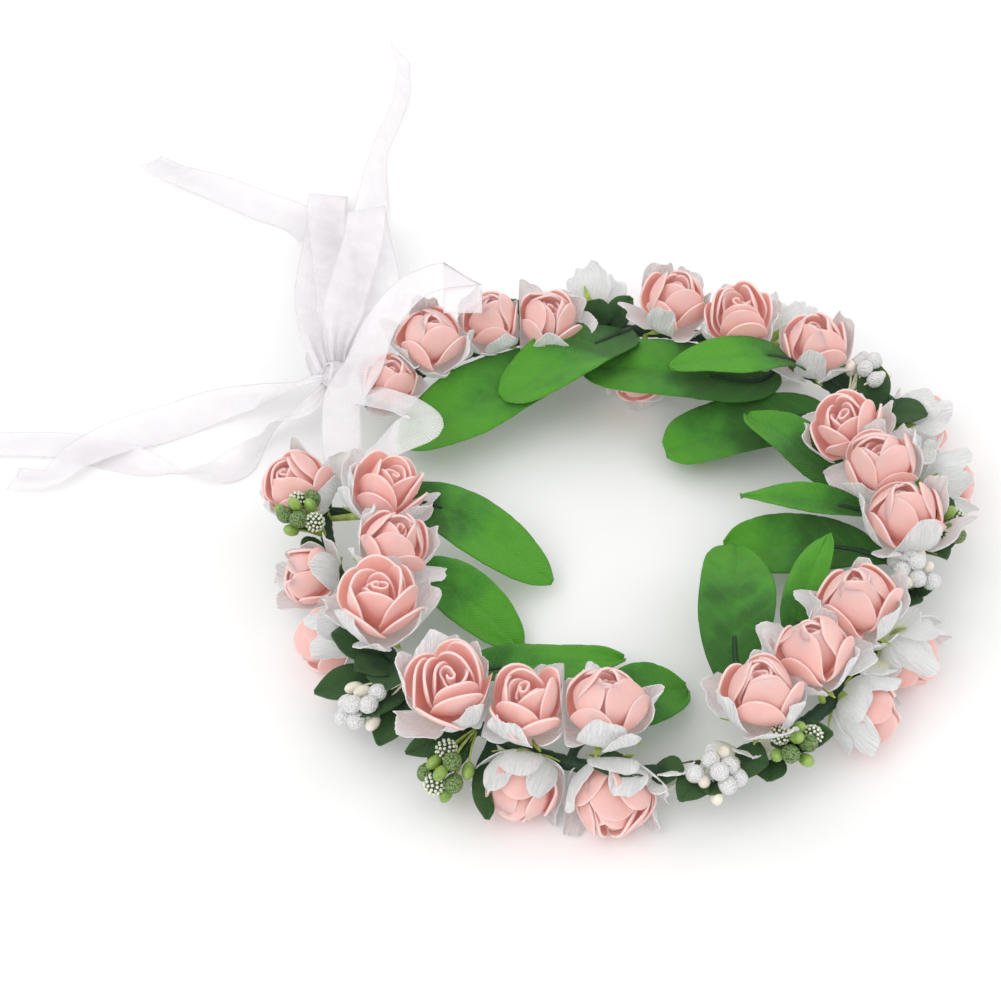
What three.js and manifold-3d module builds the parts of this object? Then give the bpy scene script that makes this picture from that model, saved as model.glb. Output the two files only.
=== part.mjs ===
// Flower crown: a wire hoop wrapped in floral tape, dressed with foam roses, fabric leaves and
// berry sprigs, and tied at the back with a sheer ribbon. Millimetres, +Z up, table at z = 0,
// origin in the middle of the head opening, forehead towards -Y, ribbon bow towards +Y.
import * as THREE from 'three';
import { mergeVertices } from 'three/addons/utils/BufferGeometryUtils.js';
import Module from 'manifold-3d';

const wasm = await Module();
wasm.setup();

// Driving dimensions.
const GAP = 0.3; // between touching pieces
const HOOP_RADIUS = 95; // wire centreline, for a head about 560 mm round
const HOOP_WAVE = 3.5; // how far the hand-bent hoop leaves a true circle
const HOOP_HEIGHT = 14;
const HOOP_START = 103; // degrees from +X, at the left wire eye
const HOOP_SWEEP = 333; // degrees round the front to the right wire eye
const WIRE_RADIUS = 0.9;
const TAPE_BORE_RADIUS = WIRE_RADIUS + GAP;
const TAPE_RADIUS = 2.2;
const EYE_RADIUS = 2.8; // wire eye that the ribbon is tied through
const STEM_RADIUS = 1.1;
const BERRY_RADIUS = 3;
const BERRY_SPREAD = 4; // from the middle of a bunch to each berry's
const LEAF_THICKNESS = 0.9;
const LEAF_FOLD = 0.15; // rise of the blade's edges for each millimetre of half width
const LEAF_STEM_HALF = 1.2; // half width of the taped base
const LEAF_STEM_SHARE = 0.12; // share of the leaf's length that is stem
const RIBBON_THICKNESS = 0.8;
const KNOT_CENTRE = [20, 108, 26];
const KNOT_RADII = [6.5, 7.5, 5];
const EYE_STEP = 40; // degrees between the points round a wire eye

const COLOURS = {
  wire: { color: 0x4b5a4a, roughness: 0.4, metalness: 0.8 },
  tape: { color: 0x1f3d24, roughness: 0.8, metalness: 0 },
  rose: { color: 0xf3a58f, roughness: 0.7, metalness: 0 },
  leaf: { color: 0x2f8a2a, roughness: 0.65, metalness: 0 },
  berry: { color: 0xe9ecdf, roughness: 0.6, metalness: 0 },
  greenBerry: { color: 0x5f8f45, roughness: 0.6, metalness: 0 },
  ribbon: { color: 0xf6eef2, roughness: 0.5, metalness: 0 },
};

// Roses as [degrees round the hoop, millimetres outside it, height of the middle, diameter].
const ROSES = [
  [106, 8, 22, 23], [111, -20, 29, 23], [130, -16, 30, 22], [125, 9, 16, 19], [144, -1, 31, 24],
  [137, 11, 9.5, 21], [167, 5, 31, 24], [180, -3, 29, 22], [-166, -9, 31, 24], [-178, 10, 9.5, 22],
  [-164, 7, 10, 24], [-137, -6, 30, 23], [-123, -8, 31, 23], [-106, -8, 30, 24],
  [-117, 8, 10, 21], [-102, 9, 9.5, 21], [-51, -18, 30, 23], [-65, -12, 31, 24],
  [-79, -4, 29, 24], [-60, 14, 9, 21], [-45, 16, 9, 20], [6, -2, 28, 23], [-9, -6, 30, 23],
  [-25, 0, 26, 23], [13, -22, 13, 20], [36, -9, 28, 22], [48, -4, 28, 21], [63, -4, 30, 23],
  [74, -3, 22, 19], [-14, 14, 9.5, 22], [22, 15, 9.5, 23],
];

// Leaves as points along the midrib, from the taped end to the tip, with the blade's full width.
const LEAVES = [
  { midrib: [[-27, 84, 12], [-20, 60, 20], [-24, 36, 16], [-27, 14, 7]], width: 22 },
  { midrib: [[-60, 70, 12], [-48, 50, 17], [-49, 32, 12], [-54, 15, 4]], width: 20 },
  { midrib: [[-88, 38, 14], [-74, 22, 14], [-62, 4, 11], [-50, -17, 8]], width: 17 },
  { midrib: [[-93, -14, 12], [-80, -16, 15], [-67, -26, 14], [-53, -38, 7]], width: 22 },
  { midrib: [[-67, -62, 13], [-46, -50, 19], [-22, -44, 22], [1, -38, 15]], width: 24 },
  { midrib: [[-38, -83, 13], [-31, -66, 18], [-14, -64, 26], [2, -66, 30]], width: 12 },
  { midrib: [[12, -90, 13], [12, -72, 15], [8, -54, 13], [4, -34, 8]], width: 24 },
  { midrib: [[28, -86, 15], [22, -70, 23], [18, -52, 25], [15, -35, 23]], width: 11 },
  { midrib: [[42, -82, 13], [38, -62, 19], [45, -44, 24], [55, -27, 20]], width: 17 },
  { midrib: [[84, -44, 15], [77, -34, 29], [68, -16, 32], [62, 3, 27]], width: 16 },
  { midrib: [[90, -30, 12], [74, -24, 17], [67, 2, 22], [63, 33, 20]], width: 26 },
  { midrib: [[76, -56, 12], [66, -46, 16], [54, -24, 13], [41, -3, 8]], width: 20 },
  { midrib: [[84, 48, 13], [58, 42, 20], [38, 60, 20], [19, 79, 12]], width: 27 },
  { midrib: [[91, 24, 13], [70, 28, 24], [51, 38, 27], [33, 53, 21]], width: 22 },
];

// Berry sprays: the bunches on each one as [degrees round the hoop, millimetres outside it, height].
const SPRAYS = [
  { look: 'greenBerry', bunches: [[115, 8, 27]] },
  { look: 'berry', bunches: [[155, 15, 20], [171, 19, 15]] },
  { look: 'berry', bunches: [[-148, 12, 16], [-134, 13, 20]] },
  { look: 'berry', bunches: [[-91, 6, 22], [-75, 9, 22]] },
  { look: 'berry', bunches: [[-35, 8, 23]] },
];

// The ribbon's routes. Tails and loops leave the knot, fall to the table and lie on it.
const RIBBONS = [
  { name: 'ribbon_loop_right', width: 15, route: [
    [30, 111, 24], [50, 112, 22], [78, 117, 18], [104, 131, 14], [114, 137, 14.6], [117, 139, 17],
    [112, 136.5, 19.5], [100, 132, 20.5], [84, 127.5, 22.5], [56, 120.5, 26], [31, 113, 27.5]] },
  { name: 'ribbon_loop_left', width: 15, route: [
    [28, 116, 20], [50, 129, 14], [75, 142, 9], [109, 154, 4.5], [128, 160.5, 3], [133.5, 162.3, 5],
    [130, 161.3, 7.5], [118, 156.5, 8.5], [100, 147, 11], [66, 129, 17], [34, 114, 22]] },
  { name: 'ribbon_tail_upper', width: 13, route: [
    [27, 118, 17], [44, 124, 10], [68, 128, 4.5], [100, 145, 2.5], [118, 167, 2.5], [122, 188, 3],
    [127, 211, 2.5], [131, 230, 1.5], [134, 242, 1]] },
  { name: 'ribbon_tail_right', width: 13, route: [
    [30, 112, 17], [52, 119, 8], [76, 127, 1.5], [110, 138, 1], [140, 146, 2], [168, 154, 3],
    [194, 158, 3], [215, 164, 2], [235, 173, 1.5]] },
  { name: 'ribbon_tail_lower', width: 14, route: [
    [20, 117, 22], [20, 128, 13], [20, 139, 6], [13, 152, 3.5], [0, 164, 3], [-14, 177, 4.5],
    [-26, 186, 4], [-38, 191, 2.5], [-42, 203, 1]] },
  { name: 'ribbon_tail_twisted', width: 8, route: [
    [12, 116, 16], [8, 127, 8], [0, 130, 3], [-9, 133, 2], [-17, 143, 1.5], [-21, 158, 1],
    [-20, 178, 1], [-22, 196, 1.5], [-29, 215, 2], [-31, 220, 2]] },
  { name: 'ribbon_front_band', width: 13, route: [
    [46, 72, 43], [56, 72, 44], [66, 74.5, 45], [72.5, 81, 45.8], [70, 88.5, 46], [61, 92.5, 45.6],
    [50, 95, 44.2], [36, 99, 39], [22, 99, 31], [8, 100, 29], [-4, 96, 27], [-12, 92, 20],
    [-12, 85, 22], [-7, 74, 33], [0, 68, 35], [8, 77, 32], [12, 90, 29], [14, 96, 26]] },
];

const up = new THREE.Vector3(0, 0, 1);

function vector([x, y, z]) {
  return new THREE.Vector3(x, y, z);
}

// A point beside the hoop's centreline.
function besideHoop(degrees, outside, height) {
  const angle = THREE.MathUtils.degToRad(degrees);
  const wave = HOOP_WAVE * Math.cos(3 * (angle + THREE.MathUtils.degToRad(35)));
  const radius = HOOP_RADIUS + wave + outside;
  return new THREE.Vector3(radius * Math.cos(angle), radius * Math.sin(angle), height);
}

// A closed geometry as a solid that can be joined and cut.
function toSolid(geometry) {
  const bare = geometry.clone();
  bare.deleteAttribute('normal');
  bare.deleteAttribute('uv');
  const merged = mergeVertices(bare, 1e-4);
  return new wasm.Manifold(new wasm.Mesh({
    numProp: 3,
    vertProperties: new Float32Array(merged.attributes.position.array),
    triVerts: new Uint32Array(merged.index.array),
  }));
}

function toGeometry(solid) {
  const mesh = solid.getMesh();
  const geometry = new THREE.BufferGeometry();
  geometry.setAttribute('position', new THREE.BufferAttribute(mesh.vertProperties, 3));
  geometry.setIndex(new THREE.BufferAttribute(mesh.triVerts, 1));
  geometry.computeVertexNormals();
  return geometry;
}

// A round bar along a curve.
function bar(curve, radius, sides, steps) {
  const section = new THREE.Shape();
  for (let side = 0; side < sides; side += 1) {
    const angle = (2 * Math.PI * side) / sides;
    const corner = [radius * Math.cos(angle), radius * Math.sin(angle)];
    if (side === 0) section.moveTo(...corner);
    else section.lineTo(...corner);
  }
  section.closePath();
  return toSolid(new THREE.ExtrudeGeometry(section, { steps, extrudePath: curve }));
}

// A thin strip along a route, level across its width: halfWidth says how wide it is at each
// fraction of its length, and fold lifts its two edges above its middle. Where the route turns
// back over itself, the strip's top face goes on round the bend and becomes its underside, and
// its width keeps the direction it had where the route is steep.
function strip(route, halfWidth, thickness, steps, fold) {
  const curve = new THREE.CatmullRomCurve3(route, false, 'centripetal');
  const positions = [];
  const indices = [];
  const lanes = [-1, 0, 1];
  let across = null;
  let hand = 0;
  for (let step = 0; step <= steps; step += 1) {
    const fraction = step / steps;
    const along = curve.getTangentAt(fraction);
    const level = new THREE.Vector3().crossVectors(up, along).normalize();
    if (across) {
      if (level.dot(across) < 0) level.negate();
      const flatness = Math.hypot(along.x, along.y) ** 4;
      level.lerp(across, 1 - flatness);
      level.addScaledVector(along, -level.dot(along)).normalize();
    }
    across = level;
    const lift = new THREE.Vector3().crossVectors(along, level);
    if (hand === 0) hand = Math.sign(lift.z);
    lift.multiplyScalar(hand);
    const half = halfWidth(fraction);
    for (const side of [1, -1]) {
      for (const lane of lanes) {
        const height = (side * thickness) / 2 + Math.abs(lane) * fold * half;
        const point = curve.getPointAt(fraction).addScaledVector(level, lane * half);
        point.addScaledVector(lift, height);
        positions.push(point.x, point.y, point.z);
      }
    }
  }
  // Each ring runs top edge to edge, then back along the underside.
  const ring = [0, 1, 2, 5, 4, 3];
  for (let step = 0; step < steps; step += 1) {
    for (let corner = 0; corner < ring.length; corner += 1) {
      const next = (corner + 1) % ring.length;
      const [a, b] = [step * 6 + ring[corner], step * 6 + ring[next]];
      indices.push(a, b, b + 6, a, b + 6, a + 6);
    }
  }
  const last = steps * 6;
  indices.push(0, 3, 4, 0, 4, 1, 1, 4, 5, 1, 5, 2);
  indices.push(last, last + 4, last + 3, last, last + 1, last + 4);
  indices.push(last + 1, last + 5, last + 4, last + 1, last + 2, last + 5);
  const geometry = new THREE.BufferGeometry();
  geometry.setAttribute('position', new THREE.Float32BufferAttribute(positions, 3));
  geometry.setIndex(indices);
  const solid = toSolid(geometry);
  return solid.volume() > 0 ? solid : toSolid(flipped(geometry));
}

// The same faces, wound the other way.
function flipped(geometry) {
  const turned = geometry.clone();
  const index = turned.index.array;
  for (let face = 0; face < index.length; face += 3) {
    [index[face + 1], index[face + 2]] = [index[face + 2], index[face + 1]];
  }
  return turned;
}

// Where a flower head faces: halfway between straight up and straight away from the hoop.
function facing(centre, root) {
  const away = centre.clone().sub(root).normalize();
  return away.add(up).normalize();
}

// A rose head with five petal lobes, a cupped middle and a calyx, on the stem it is wired by.
function roseSolid(centre, root, diameter, grow) {
  const radius = diameter / 2 + grow;
  const petals = 5;
  const profile = [[0, -0.85], [0.3, -0.8], [0.85, -0.35], [1, 0.1], [0.8, 0.6], [0.4, 0.8], [0, 0.65]];
  const points = profile.map(([r, y]) => new THREE.Vector2(r * radius, y * radius));
  const head = new THREE.LatheGeometry(points, 2 * petals);
  const position = head.attributes.position;
  const petalLobe = 0.05;
  for (let i = 0; i < position.count; i += 1) {
    const [x, z] = [position.getX(i), position.getZ(i)];
    const scale = 1 + petalLobe * Math.cos(petals * Math.atan2(z, x));
    position.setXYZ(i, x * scale, position.getY(i), z * scale);
  }
  head.applyQuaternion(new THREE.Quaternion().setFromUnitVectors(
    new THREE.Vector3(0, 1, 0), facing(centre, root)));
  head.translate(centre.x, centre.y, centre.z);
  const stem = bar(new THREE.LineCurve3(root, centre), STEM_RADIUS + grow, 6, 1);
  return toSolid(head).add(stem);
}

// A spray: round bunches of berries, each on a branch of one short stem.
function spraySolid(bunches, grow) {
  const degrees = bunches.reduce((sum, bunch) => sum + bunch[0], 0) / bunches.length;
  const root = besideHoop(degrees, 0, HOOP_HEIGHT);
  const berriesInBunch = 5;
  let spray = null;
  for (const bunch of bunches) {
    const centre = besideHoop(...bunch);
    const outward = facing(centre, root);
    const sideways = new THREE.Vector3().crossVectors(outward, up).normalize();
    const over = new THREE.Vector3().crossVectors(sideways, outward);
    const branch = bar(new THREE.LineCurve3(root, centre), STEM_RADIUS + grow, 6, 1);
    spray = spray ? spray.add(branch) : branch;
    for (let berry = 0; berry < berriesInBunch; berry += 1) {
      const angle = (2 * Math.PI * berry) / berriesInBunch;
      const middle = centre.clone().addScaledVector(sideways, BERRY_SPREAD * Math.cos(angle));
      middle.addScaledVector(over, BERRY_SPREAD * Math.sin(angle));
      const ball = new THREE.SphereGeometry(BERRY_RADIUS + grow, 7, 5);
      spray = spray.add(toSolid(ball.translate(middle.x, middle.y, middle.z)));
    }
  }
  return spray;
}

// The knot: a squeezed ball of gathered ribbon.
function knotSolid(grow) {
  const ball = new THREE.IcosahedronGeometry(1, 2);
  ball.scale(...KNOT_RADII.map((radius) => radius + grow));
  ball.translate(...KNOT_CENTRE);
  return toSolid(ball);
}

const group = new THREE.Group();
const belowTable = toSolid(new THREE.BoxGeometry(800, 800, 100).translate(0, 50, -50));
const placed = []; // the space that each placed piece keeps clear of the later ones

function clearOf(solid) {
  let cut = solid.subtract(belowTable);
  for (const space of placed) cut = cut.subtract(space);
  const bodies = cut.decompose();
  bodies.sort((a, b) => b.volume() - a.volume());
  return bodies[0];
}

function place(name, solid, space, look) {
  const mesh = new THREE.Mesh(toGeometry(solid), new THREE.MeshStandardMaterial(COLOURS[look]));
  mesh.name = name;
  group.add(mesh);
  placed.push(space);
}

// The wire: one bar that runs round the hoop and curls into an upright eye at each end.
function wireCurve() {
  const points = [];
  const eye = (degrees, turn) => {
    const end = besideHoop(degrees, 0, HOOP_HEIGHT);
    const ahead = besideHoop(degrees + turn, 0, HOOP_HEIGHT).sub(end).normalize();
    const ring = [];
    for (let degreesRound = EYE_STEP; degreesRound < 300; degreesRound += EYE_STEP) {
      const angle = THREE.MathUtils.degToRad(degreesRound);
      const point = end.clone().addScaledVector(ahead, EYE_RADIUS * (1 + Math.sin(angle)));
      ring.push(point.addScaledVector(up, EYE_RADIUS * (1 - Math.cos(angle))));
    }
    return ring;
  };
  points.push(...eye(HOOP_START, -1).reverse());
  const spans = 48;
  for (let step = 0; step <= spans; step += 1) {
    points.push(besideHoop(HOOP_START + (HOOP_SWEEP * step) / spans, 0, HOOP_HEIGHT));
  }
  points.push(...eye(HOOP_START + HOOP_SWEEP, 1));
  return new THREE.CatmullRomCurve3(points, false, 'centripetal');
}

// The stretch of hoop that the tape covers, or its bore when it runs on past both ends.
function tapeCurve(beyond) {
  const points = [];
  const spans = 48;
  for (let step = 0; step <= spans; step += 1) {
    const along = (HOOP_SWEEP + 2 * beyond) * (step / spans) - beyond;
    points.push(besideHoop(HOOP_START + along, 0, HOOP_HEIGHT));
  }
  return new THREE.CatmullRomCurve3(points, false, 'centripetal');
}

const wire = bar(wireCurve(), WIRE_RADIUS, 6, 90);
place('wire_hoop', wire, bar(wireCurve(), TAPE_BORE_RADIUS, 6, 90), 'wire');

const tapeBore = bar(tapeCurve(1), TAPE_BORE_RADIUS, 8, 64);
place('floral_tape_wrap', bar(tapeCurve(0), TAPE_RADIUS, 8, 64).subtract(tapeBore),
  bar(tapeCurve(0), TAPE_RADIUS + GAP, 8, 64), 'tape');

place('ribbon_knot', clearOf(knotSolid(0)), knotSolid(GAP), 'ribbon');

ROSES.forEach(([degrees, outside, height, diameter], index) => {
  const name = `rose_${String(index + 1).padStart(2, '0')}`;
  const root = besideHoop(degrees, 0, HOOP_HEIGHT);
  const centre = besideHoop(degrees, outside, height);
  place(name, clearOf(roseSolid(centre, root, diameter, 0)),
    roseSolid(centre, root, diameter, GAP), 'rose');
});

SPRAYS.forEach(({ look, bunches }, index) => {
  place(`berry_spray_${index + 1}`, clearOf(spraySolid(bunches, 0)), spraySolid(bunches, GAP), look);
});

LEAVES.forEach(({ midrib, width }, index) => {
  const route = midrib.map(vector);
  const blade = (grow) => (fraction) => {
    const pastStem = Math.max(0, (fraction - LEAF_STEM_SHARE) / (1 - LEAF_STEM_SHARE));
    const belly = Math.sin(Math.PI * pastStem ** 0.8);
    return LEAF_STEM_HALF + grow + (width / 2 - LEAF_STEM_HALF) * Math.max(0, belly);
  };
  const leaf = strip(route, blade(0), LEAF_THICKNESS, 10, LEAF_FOLD);
  place(`leaf_${String(index + 1).padStart(2, '0')}`, clearOf(leaf),
    strip(route, blade(GAP), LEAF_THICKNESS + 2 * GAP, 10, LEAF_FOLD), 'leaf');
});

RIBBONS.forEach(({ name, route, width }) => {
  const ribbon = (grow) => strip(route.map(vector), () => width / 2 + grow,
    RIBBON_THICKNESS + 2 * grow, 6 * route.length, 0);
  place(name, clearOf(ribbon(0)), ribbon(GAP), 'ribbon');
});

export default group;
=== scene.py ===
# Flower crown: foam roses, paper petals, woven leaves, berry sprays and an organza ribbon,
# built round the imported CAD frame. Blender 4.5, metres. Shapes are worked out in millimetres
# and scaled by MM when their mesh is made.
import math
import random

import bpy
import numpy as np
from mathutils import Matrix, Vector


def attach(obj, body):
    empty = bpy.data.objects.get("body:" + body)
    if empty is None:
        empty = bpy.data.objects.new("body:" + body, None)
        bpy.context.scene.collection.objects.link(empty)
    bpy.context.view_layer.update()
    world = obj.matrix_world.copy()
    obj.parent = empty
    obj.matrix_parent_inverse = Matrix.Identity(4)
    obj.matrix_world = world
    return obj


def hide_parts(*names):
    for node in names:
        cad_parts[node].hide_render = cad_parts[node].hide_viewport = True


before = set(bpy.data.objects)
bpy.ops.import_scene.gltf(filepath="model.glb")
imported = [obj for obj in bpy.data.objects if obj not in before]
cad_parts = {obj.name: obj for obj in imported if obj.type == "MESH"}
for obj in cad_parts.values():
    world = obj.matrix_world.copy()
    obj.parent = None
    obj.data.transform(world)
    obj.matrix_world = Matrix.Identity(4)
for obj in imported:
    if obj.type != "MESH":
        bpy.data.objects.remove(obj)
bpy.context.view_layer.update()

MM = 0.001

# The hoop, as in the CAD.
HOOP_RADIUS = 95.0
HOOP_WAVE = 3.5
HOOP_HEIGHT = 14.0
HOOP_START = 103.0
HOOP_SWEEP = 333.0
TAPE_RADIUS = 2.2
WIRE_RADIUS = 0.9
EYE_RADIUS = 2.8
KNOT_CENTRE = np.array([20.0, 108.0, 26.0])

# Where the seeds of each kind of piece start.
FOAM_SEEDS, PAPER_SEEDS, CALYX_SEEDS, LEAF_SEEDS, BERRY_SEEDS = 100, 300, 500, 700, 900

# Flowers. A grid is the rows up a petal and the columns across it.
USUAL_RADIUS = 12.0
FOAM_GRID = (17, 13)
BUD_GRID = (9, 36)
PAPER_GRID = (22, 35)
SEPAL_GRID = (9, 5)
FOAM_THICKNESS = 0.85
PAPER_THICKNESS = 0.3
PAPER_RIB_PITCH = 1.7
SEPALS = 5
SEPAL_THICKNESS = 0.35
STEM_RADII = (1.7, 0.9)

# Petal layers from the inside out, as shares of the rose's radius: how far from the middle,
# how high the top stands, how far it leans out when the rose is shut and when it is open,
# how wide the petal is, and how many there are.
PETAL_LAYERS = [
    (0.36, 0.80, -0.12, 0.00, 0.95, 2),
    (0.58, 0.92, -0.43, -0.04, 1.22, 3),
    (0.80, 0.88, -0.58, -0.02, 1.42, 3),
    (0.96, 0.52, -0.18, 0.12, 1.36, 4),
]

# Roses whose petals stand open; the rest are nearly shut.
OPEN_ROSES = {"rose_02", "rose_05", "rose_07", "rose_08", "rose_17", "rose_21", "rose_23",
              "rose_31"}

# Roses that a leaf lies over, and the height it keeps them under.
UNDER_LEAVES = {"rose_25": 19.5}

# Leaves, berries and ribbon.
LEAF_STEM_RADII = (1.5, 0.6)
LEAF_WEAVE_PITCH = 0.75
BALL_RADII = (2.7, 3.1)
CORE_RADII = (2.7, 3.0)
PIP_RADII = (1.9, 3.0)
BERRY_WIRE_RADIUS = 0.35
BUNCH_SPREAD = 5.0
BEADS_ON_A_BERRY = 60
BEAD_RADIUS = 0.5
RIBBON_THICKNESS = 0.16
RIBBON_WEAVE_PITCH = 0.5
RIBBON_STEP = 1.6
FOLD_ROW = 12
CLEAR_OF_TABLE = 0.4

# Leaves: points along the midrib from the taped end to the tip, and the blade's width.
LEAVES = {
    "leaf_01": ([(-27, 84, 12), (-20, 60, 20), (-24, 36, 16), (-27, 14, 7)], 22),
    "leaf_02": ([(-60, 70, 12), (-48, 50, 17), (-49, 32, 12), (-54, 15, 4)], 20),
    "leaf_03": ([(-88, 38, 14), (-74, 22, 14), (-62, 4, 11), (-50, -17, 8)], 17),
    "leaf_04": ([(-93, -14, 12), (-80, -16, 15), (-67, -26, 14), (-53, -38, 7)], 22),
    "leaf_05": ([(-67, -62, 13), (-46, -50, 19), (-22, -44, 22), (1, -38, 15)], 24),
    "leaf_06": ([(-38, -83, 13), (-31, -66, 18), (-14, -64, 26), (2, -66, 30)], 12),
    "leaf_07": ([(12, -90, 13), (12, -72, 15), (8, -54, 13), (4, -34, 8)], 24),
    "leaf_08": ([(28, -86, 15), (22, -70, 23), (18, -52, 25), (15, -35, 23)], 11),
    "leaf_09": ([(42, -82, 13), (38, -62, 19), (45, -44, 24), (55, -27, 20)], 17),
    "leaf_10": ([(84, -44, 15), (77, -34, 29), (68, -16, 32), (62, 3, 27)], 16),
    "leaf_11": ([(90, -30, 12), (74, -24, 17), (66, 2, 22), (60, 34, 19)], 30),
    "leaf_12": ([(76, -56, 12), (66, -46, 16), (54, -24, 13), (41, -3, 8)], 27),
    "leaf_13": ([(84, 48, 13), (58, 42, 20), (34, 60, 19), (9, 81, 11)], 29),
    "leaf_14": ([(91, 24, 13), (70, 28, 25), (51, 38, 28), (33, 53, 21)], 27),
}

# What leaves are like: their thickness, how steeply the halves fold up from the midrib, how
# far the edge waves, and the rows and columns of their mesh.
BIG_LEAF = {"thickness": 0.45, "fold": 0.14, "wave": 2.6, "rows": 60, "columns": 25}
SMALL_LEAF = {"thickness": 0.4, "fold": 0.15, "wave": 0.7, "rows": 22, "columns": 9}

# How far along the leaf the dark print of its base reaches, where it isn't the usual share.
USUAL_DARK_BASE = 0.35
DARK_BASES = {"leaf_01": 0.25, "leaf_02": 0.28, "leaf_03": 0.30, "leaf_04": 0.50, "leaf_05": 0.40,
              "leaf_07": 0.50, "leaf_09": 0.45, "leaf_10": 0.20, "leaf_11": 0.42, "leaf_12": 0.52,
              "leaf_13": 0.30}

# How pointed a leaf is where it isn't the usual: a low number gives a broad, blunt tip.
USUAL_POINT = 0.56
PETAL_POINT = 0.34
POINTS = {"leaf_07": 0.45, "leaf_09": 0.42, "leaf_11": 0.38, "leaf_12": 0.34, "leaf_13": 0.34,
          "leaf_14": 0.36}

# Berry bunches as (degrees round the hoop, millimetres outside it, height, kind).
SPRAYS = {
    "berry_spray_1": [(115, 8, 27, "green")],
    "berry_spray_2": [(154, 20, 18, "white"), (171, 19, 15, "green")],
    "berry_spray_3": [(-148, 8, 21, "white"), (-135, 8, 24, "green")],
    "berry_spray_4": [(-90, 2, 26, "white"), (-76, 8, 25, "green")],
    "berry_spray_5": [(-35, 8, 23, "white")],
}

# What the berries of a bunch are, in order round it, with the middle one last.
BUNCHES = {
    "green": ["sugared", "pip", "sugared", "beaded", "pip", "sugared", "beaded", "pip", "pip"],
    "white": ["sugared", "sugared", "sugared", "pip", "sugared", "sugared", "pip", "pip",
              "sugared"],
}

# Small leaves and white petals that stand on their own between the roses: degrees,
# millimetres outside the hoop, and height.
LONE_LEAVES = [(41, 7, 30), (22, 3, 27), (-42, 8, 24), (150, 10, 26), (-161, 2, 23)]
LOOSE_PETALS = [(-154, 4, 23), (-140, 2, 26), (-106, 2, 28), (-56, 2, 28)]

# The ribbon's routes, with the width of each strip. They are the CAD's, apart from two places:
# the front band's first corner is a flat fold here, and FOLDS has the number of its point; and
# the outer end of ribbon_tail_right is a few millimetres higher, because it stands on its edge.
RIBBONS = {
    "ribbon_loop_right": (15, [
        (30, 111, 24), (50, 112, 22), (78, 117, 18), (104, 131, 14), (114, 137, 14.6),
        (117, 139, 17), (112, 136.5, 19.5), (100, 132, 20.5), (84, 127.5, 22.5), (56, 120.5, 26),
        (31, 113, 27.5)]),
    "ribbon_loop_left": (15, [
        (28, 116, 20), (50, 129, 14), (75, 142, 9), (109, 154, 4.5), (128, 160.5, 3),
        (133.5, 162.3, 5), (130, 161.3, 7.5), (118, 156.5, 8.5), (100, 147, 11), (66, 129, 17),
        (34, 114, 22)]),
    "ribbon_tail_upper": (13, [
        (27, 118, 17), (44, 124, 10), (68, 128, 4.5), (100, 145, 2.5), (118, 167, 2.5),
        (122, 188, 3), (127, 211, 2.5), (131, 230, 1.5), (134, 242, 1)]),
    "ribbon_tail_right": (13, [
        (30, 112, 17), (52, 119, 8), (76, 127, 1.5), (110, 138, 2), (140, 146, 5), (168, 154, 6.5),
        (194, 158, 6.5), (215, 164, 6), (235, 173, 6)]),
    "ribbon_tail_lower": (14, [
        (20, 117, 22), (20, 128, 13), (20, 139, 6), (13, 152, 3.5), (0, 164, 3), (-14, 177, 4.5),
        (-26, 186, 4), (-38, 191, 2.5), (-42, 203, 1)]),
    "ribbon_tail_twisted": (12, [
        (12, 116, 16), (8, 127, 8), (0, 130, 3), (-9, 133, 2), (-17, 143, 1.5), (-21, 158, 1),
        (-20, 178, 1), (-22, 196, 1.5), (-29, 215, 2), (-31, 220, 2)]),
    "ribbon_front_band": (13, [
        (46, 72, 43), (53, 74.5, 44.6), (62, 78, 46), (57, 85, 46.6), (49, 92.5, 45),
        (36, 98, 39), (22, 99, 31), (8, 100, 29), (-4, 96, 27),
        (-12, 92, 20), (-12, 85, 22), (-7, 74, 33), (0, 68, 35), (8, 77, 32), (12, 90, 29),
        (14, 96, 26)]),
}

FOLDS = {"ribbon_front_band": 2}

UP = np.array([0.0, 0.0, 1.0])


# ---------------------------------------------------------------- small geometry helpers
def unit(vector):
    return vector / max(np.linalg.norm(vector), 1e-9)


def beside_hoop(degrees, outside, height):
    """A point at an angle round the hoop, so far outside its middle line, and at a height."""
    angle = math.radians(degrees)
    radius = HOOP_RADIUS + HOOP_WAVE * math.cos(3 * (angle + math.radians(35))) + outside
    return np.array([radius * math.cos(angle), radius * math.sin(angle), height])


def on_hoop_near(point):
    """The point of the hoop's middle line that lies on the same ray from the middle."""
    return beside_hoop(math.degrees(math.atan2(point[1], point[0])), 0, HOOP_HEIGHT)


def frame_about(axis, spin):
    """Two directions square to axis, turned by spin about it."""
    guess = UP if abs(axis[2]) < 0.9 else np.array([1.0, 0.0, 0.0])
    side = unit(np.cross(guess, axis))
    over = np.cross(axis, side)
    return (side * math.cos(spin) + over * math.sin(spin),
            over * math.cos(spin) - side * math.sin(spin))


def smooth_curve(points, count):
    """count points at even steps along a Catmull-Rom curve through points."""
    points = np.array(points, float)
    padded = np.vstack([2 * points[0] - points[1], points, 2 * points[-1] - points[-2]])
    dense = []
    steps = 24
    for i in range(len(points) - 1):
        a, b, c, d = padded[i:i + 4]
        for t in np.arange(steps) / steps:
            dense.append(0.5 * (2 * b + (c - a) * t + (2 * a - 5 * b + 4 * c - d) * t * t
                                + (3 * b - a - 3 * c + d) * t ** 3))
    dense.append(points[-1])
    dense = np.array(dense)
    travelled = np.concatenate([[0], np.cumsum(np.linalg.norm(np.diff(dense, axis=0), axis=1))])
    wanted = np.linspace(0, travelled[-1], count)
    return np.stack([np.interp(wanted, travelled, dense[:, k]) for k in range(3)], axis=1)


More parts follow.
